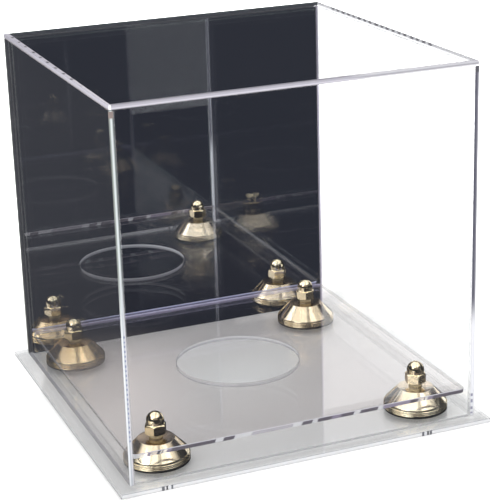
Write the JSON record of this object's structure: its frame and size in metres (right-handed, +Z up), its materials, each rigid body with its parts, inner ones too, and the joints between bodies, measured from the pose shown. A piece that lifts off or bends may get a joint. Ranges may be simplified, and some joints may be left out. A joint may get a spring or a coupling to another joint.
{
  "type": "bowling ball display case",
  "caption": "Clear square acrylic case with a mirrored back: the cover lifts off a base plate that carries a platform with a round ball seat on brass risers.",
  "frame": {"origin": "centre of the base plate's underside, on the table", "axes": "+Z up, +X to the right and +Y to the back, where the mirror is"},
  "size_m": [0.266, 0.266, 0.2515],
  "materials": {
    "clear_acrylic": "clear polished acrylic",
    "mirror_acrylic": "clear acrylic, silvered at the back",
    "riser_brass": "polished, lacquered",
    "nut_brass": "polished",
    "rubber": "matt black",
    "steel": "zinc plated"
  },
  "bodies": {
    "base": {"base_plate": "clear_acrylic", "platform": "clear_acrylic", "ring_front_left": "rubber", "ring_front_right": "rubber", "ring_back_left": "rubber", "ring_back_right": "rubber", "riser_front_left": "riser_brass", "riser_front_right": "riser_brass", "riser_back_left": "riser_brass", "riser_back_right": "riser_brass", "screw_front_left": "steel", "screw_front_right": "steel", "screw_back_left": "steel", "screw_back_right": "steel", "nut_front_left": "nut_brass", "nut_front_right": "nut_brass", "nut_back_left": "nut_brass", "nut_back_right": "nut_brass"},
    "cover": {"cover_front": "clear_acrylic", "cover_left": "clear_acrylic", "cover_right": "clear_acrylic", "cover_top": "clear_acrylic", "mirror_back": "mirror_acrylic"}
  },
  "joints": [
    {"name": "cover_lift", "type": "slide", "parent": "base", "child": "cover", "axis": [0, 0, 1], "range_m": [0, 0.26]}
  ]
}
